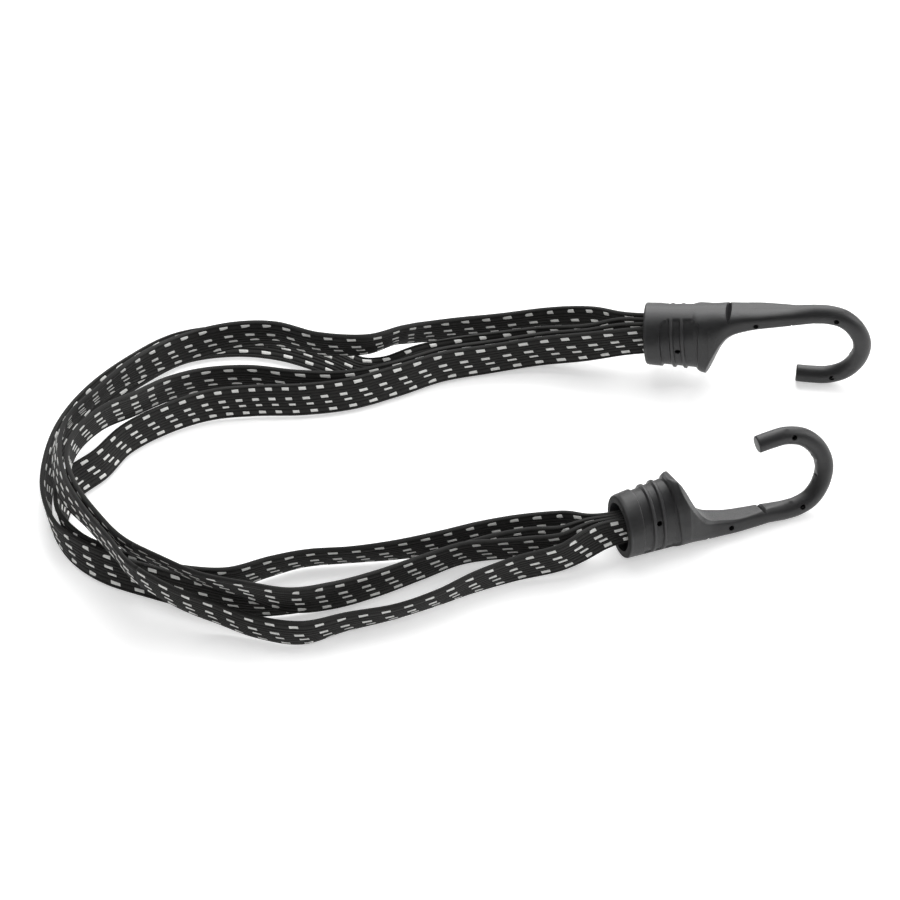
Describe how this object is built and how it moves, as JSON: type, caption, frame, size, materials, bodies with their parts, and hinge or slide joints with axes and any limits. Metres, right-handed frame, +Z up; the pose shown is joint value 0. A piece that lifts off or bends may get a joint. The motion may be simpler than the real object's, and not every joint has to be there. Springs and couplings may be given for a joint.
{
  "type": "bungee cord",
  "caption": "Flat elastic tie-down: ribbed black straps with white tracer dashes, lying folded in a U, gathered at both ends into moulded hooks.",
  "frame": {"origin": "middle of the two hooks' footprint, on the surface that the cord lies on", "axes": "+X from the bend of the straps towards the hooks' loops, +Y from the near hook to the far hook, +Z up"},
  "size_m": [0.2697, 0.1557, 0.0318],
  "materials": {
    "moulded_plastic": "semi-matte charcoal",
    "steel": "drawn wire and pressed band",
    "ribbed_webbing": "black ribbed elastic with white dashes"
  },
  "bodies": {
    "cord": {"hook_far": "moulded_plastic", "core_far": "steel", "ferrule_far": "steel", "strap_a": "ribbed_webbing", "strap_d": "ribbed_webbing", "strap_b": "ribbed_webbing", "strap_c": "ribbed_webbing"},
    "near_hook": {"hook_near": "moulded_plastic", "core_near": "steel", "ferrule_near": "steel"}
  },
  "joints": [
    {"name": "stretch", "type": "slide", "parent": "cord", "child": "near_hook", "axis": [0.9396, 0.342, -0.0105], "range_m": [0, 0.2], "stiffness_N_per_m": 300, "deforming": ["strap_a", "strap_d", "strap_b", "strap_c"]}
  ]
}
